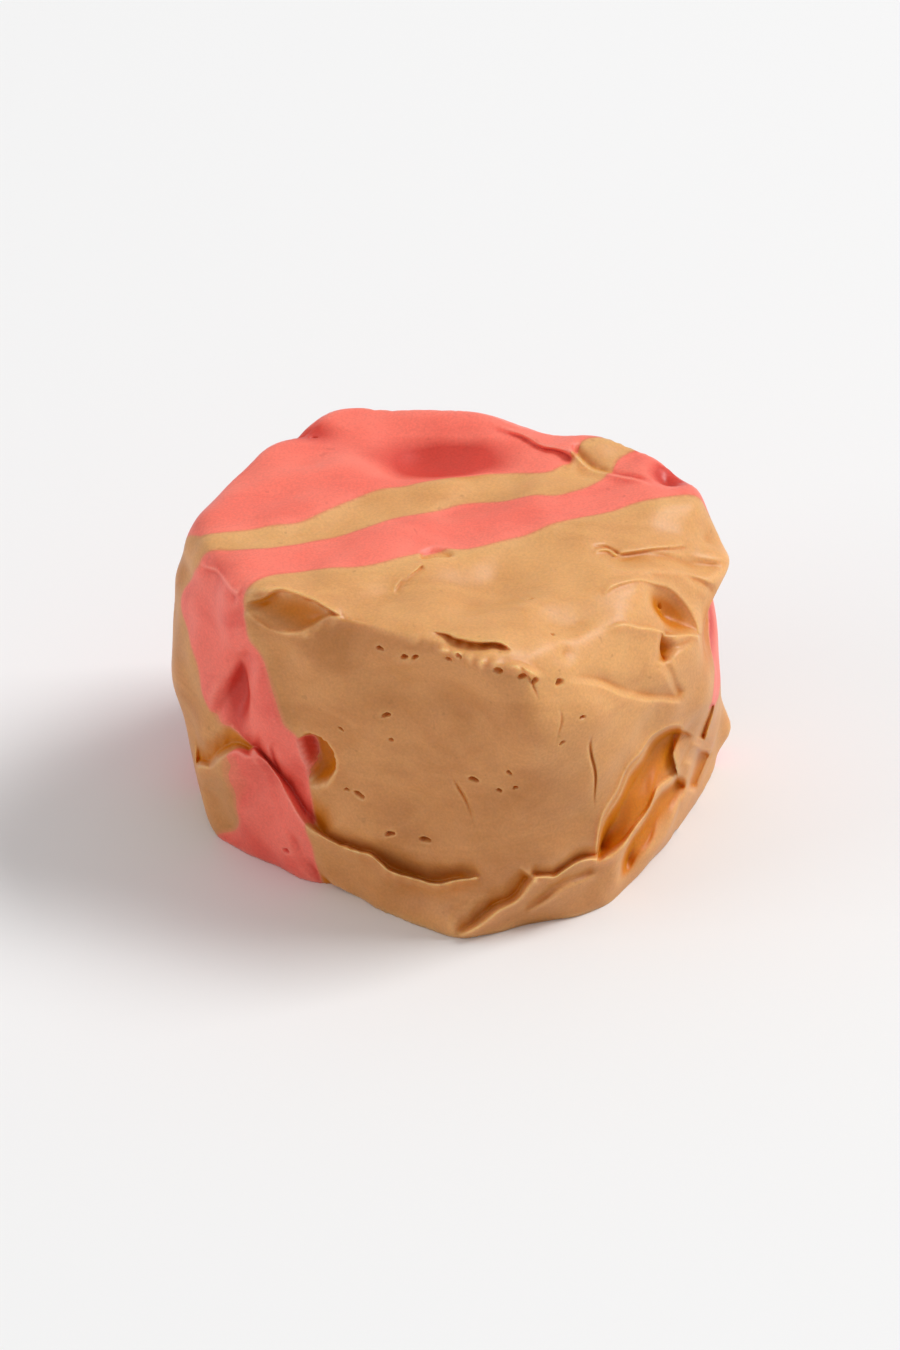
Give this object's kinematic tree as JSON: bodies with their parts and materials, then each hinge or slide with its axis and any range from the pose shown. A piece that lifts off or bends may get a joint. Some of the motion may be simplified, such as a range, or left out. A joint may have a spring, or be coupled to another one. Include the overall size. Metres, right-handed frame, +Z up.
{
  "type": "taffy",
  "caption": "Unwrapped chunk of pulled taffy, squat and blunt-cornered, in tan with coral pink bands running through, folded along its foot.",
  "frame": {"origin": "on the surface that the taffy rests on, under the middle of its bounding box", "axes": "+Z up, +X along the longest side, so the tan front with its folded foot faces -Y and the pink back faces +Y"},
  "size_m": [0.0284, 0.0242, 0.0179],
  "materials": {
    "tan_taffy": "satin pulled sugar, opaque with a soft waxy sheen and fine pores",
    "pink_taffy": "satin pulled sugar, coral pink, opaque with a soft waxy sheen"
  },
  "bodies": {
    "root": {"back_pink_layer": "pink_taffy", "tan_stripe_layer": "tan_taffy", "front_pink_layer": "pink_taffy", "front_tan_layer": "tan_taffy"}
  },
  "joints": []
}
